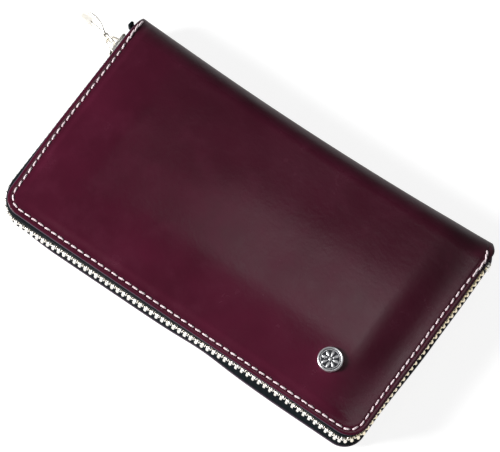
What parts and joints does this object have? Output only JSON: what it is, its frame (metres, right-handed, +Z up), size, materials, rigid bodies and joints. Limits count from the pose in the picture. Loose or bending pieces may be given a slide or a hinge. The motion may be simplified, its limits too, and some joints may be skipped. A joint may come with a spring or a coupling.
{
  "type": "zip-around wallet",
  "caption": "Long padded leather wallet with a metal zip round its open edges, a pull tab, a round badge, card pockets and a zipped coin pocket.",
  "frame": {"origin": "centre of the flat outer face of the back cover, on which the closed wallet lies", "axes": "+X along the wallet, from the end with the slider to the other end; +Y from the front zip edge to the spine; +Z up, out of the front cover with the badge"},
  "size_m": [0.2173, 0.1098, 0.0252],
  "materials": {
    "burgundy_leather": "glossy smooth",
    "black_cloth": "woven",
    "cream_thread": "waxed thread",
    "bright_nickel": "polished",
    "padding_foam": "soft foam",
    "stiffening_board": "pressed board"
  },
  "bodies": {
    "back_cover": {"back_cover_leather": "burgundy_leather", "back_foam": "padding_foam", "back_board": "stiffening_board", "back_lining": "black_cloth", "back_zip_tape": "black_cloth", "back_zip_teeth": "bright_nickel", "back_tape_end": "black_cloth", "back_top_stop": "bright_nickel", "back_stitching": "cream_thread", "back_card_panel": "burgundy_leather", "back_card_pocket_1": "burgundy_leather", "back_card_pocket_2": "burgundy_leather", "back_card_pocket_3": "burgundy_leather", "back_card_pocket_4": "burgundy_leather", "zip_bottom_stop": "bright_nickel"},
    "spine": {"spine_leather": "burgundy_leather", "spine_lining": "black_cloth", "coin_pocket_back_wall": "burgundy_leather", "coin_pocket_front_wall": "burgundy_leather", "coin_pocket_back_lining": "black_cloth", "coin_pocket_front_lining": "black_cloth", "coin_pocket_left_gusset": "black_cloth", "coin_pocket_right_gusset": "black_cloth", "coin_pocket_bottom": "black_cloth", "coin_zip_back_tape": "black_cloth", "coin_zip_front_tape": "black_cloth", "coin_zip_back_teeth": "bright_nickel", "coin_zip_front_teeth": "bright_nickel", "coin_zip_stops": "bright_nickel"},
    "front_cover": {"front_cover_leather": "burgundy_leather", "front_foam": "padding_foam", "front_board": "stiffening_board", "front_lining": "black_cloth", "front_zip_tape": "black_cloth", "front_zip_teeth": "bright_nickel", "front_tape_end": "black_cloth", "front_top_stop": "bright_nickel", "front_stitching": "cream_thread", "front_card_panel": "burgundy_leather", "front_card_pocket_1": "burgundy_leather", "front_card_pocket_2": "burgundy_leather", "front_card_pocket_3": "burgundy_leather", "front_card_pocket_4": "burgundy_leather", "badge_disc": "bright_nickel", "badge_washer": "bright_nickel"},
    "zip_slider": {"slider_body": "bright_nickel", "slider_bridge": "bright_nickel"},
    "zip_pull_link": {"pull_link": "bright_nickel"},
    "zip_pull_tab": {"pull_tab": "bright_nickel"},
    "coin_slider": {"coin_slider_body": "bright_nickel", "coin_slider_bridge": "bright_nickel"},
    "coin_pull": {"coin_pull_tab": "bright_nickel"}
  },
  "joints": [
    {"name": "spine_fold", "type": "hinge", "parent": "back_cover", "child": "spine", "pos_m": [0, 0.05049, 0.00351], "axis": [-1, 0, 0], "range_deg": [0, 90]},
    {"name": "cover_open", "type": "hinge", "parent": "spine", "child": "front_cover", "pos_m": [0, 0.05049, 0.02048], "axis": [-1, 0, 0], "range_deg": [0, 90]},
    {"name": "slider_travel", "type": "slide", "parent": "back_cover", "child": "zip_slider", "axis": [0, -1, 0], "range_m": [0, 0.072]},
    {"name": "pull_link_swing", "type": "hinge", "parent": "zip_slider", "child": "zip_pull_link", "pos_m": [-0.09905, 0.0382, 0.012], "axis": [0, 0, 1], "range_deg": [-45, 70]},
    {"name": "pull_tab_swing", "type": "hinge", "parent": "zip_pull_link", "child": "zip_pull_tab", "pos_m": [-0.10417, 0.0391, 0.012], "axis": [0, 0, 1], "range_deg": [-30, 30]},
    {"name": "coin_slider_travel", "type": "slide", "parent": "spine", "child": "coin_slider", "axis": [1, 0, 0], "range_m": [0, 0.139]},
    {"name": "coin_pull_swing", "type": "hinge", "parent": "coin_slider", "child": "coin_pull", "pos_m": [-0.07, -0.0357, 0.012], "axis": [0, 0, -1], "range_deg": [0, 180]}
  ],
  "couplings": [
    {"joint": "spine_fold", "follows": "cover_open", "ratio": 1}
  ]
}
